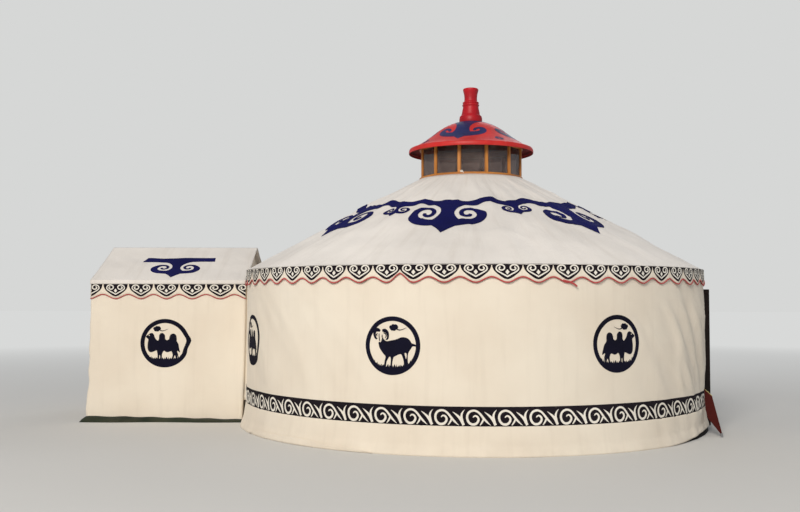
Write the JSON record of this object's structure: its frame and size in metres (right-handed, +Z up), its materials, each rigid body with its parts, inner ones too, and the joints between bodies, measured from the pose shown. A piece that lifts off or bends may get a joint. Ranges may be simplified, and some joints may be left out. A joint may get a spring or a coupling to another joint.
{
  "type": "yurt",
  "caption": "White canvas yurt with a glazed lantern under a red domed cap, dark appliqued bands, an open doorway and a small ridged side tent.",
  "frame": {"origin": "on the axis of the round wall, at ground level", "axes": "+Z up along the axis of the round wall; +X towards the main doorway, so the side tent stands at -X with its ridge along X; -Y towards the long bare side of the wall"},
  "size_m": [8.24, 6.1506, 4.5027],
  "materials": {
    "canvas": "matte woven canvas",
    "roof_canvas": "matte woven canvas",
    "band": "matte applique",
    "lath": "oiled",
    "painted_timber": "orange-yellow varnish",
    "door_timber": "dark varnish",
    "red_cap": "gloss paint",
    "pane": "clear",
    "ground_cloth": "coated cloth",
    "strap": "woven webbing",
    "steel": "dull"
  },
  "bodies": {
    "root": {"wall_panel_front_1": "canvas", "wall_panel_front_2": "canvas", "wall_panel_front_3": "canvas", "wall_panel_back_1": "canvas", "wall_panel_back_2": "canvas", "wall_panel_back_3": "canvas", "wall_over_door": "canvas", "wall_over_passage": "canvas", "skirt_front": "canvas", "skirt_back": "canvas", "valance": "band", "roof_gore_1": "roof_canvas", "roof_gore_2": "roof_canvas", "roof_gore_3": "roof_canvas", "roof_gore_4": "roof_canvas", "roof_gore_5": "roof_canvas", "roof_gore_6": "roof_canvas", "roof_poles_1": "lath", "roof_poles_2": "lath", "roof_poles_3": "lath", "lattice_front": "lath", "lattice_back": "lath", "crown_ring": "painted_timber", "lantern_sill": "painted_timber", "lantern_posts": "painted_timber", "lantern_panes": "pane", "lantern_head_ring": "painted_timber", "lantern_cap": "red_cap", "lantern_finial": "red_cap", "door_jambs": "door_timber", "door_head": "door_timber", "door_threshold": "door_timber", "door_leaf": "door_timber", "door_hinges": "steel", "tent_front_wall": "canvas", "tent_back_wall": "canvas", "tent_outer_wall": "canvas", "tent_inner_wall": "canvas", "tent_wall_over_passage": "canvas", "tent_roof_front": "roof_canvas", "tent_roof_back": "roof_canvas", "tent_valance": "band", "tent_posts": "steel", "tent_rails": "steel", "passage_sleeve": "canvas", "closing_flap": "canvas", "ground_hem": "ground_cloth", "anchor_straps": "strap", "ground_pegs": "steel"}
  },
  "joints": []
}
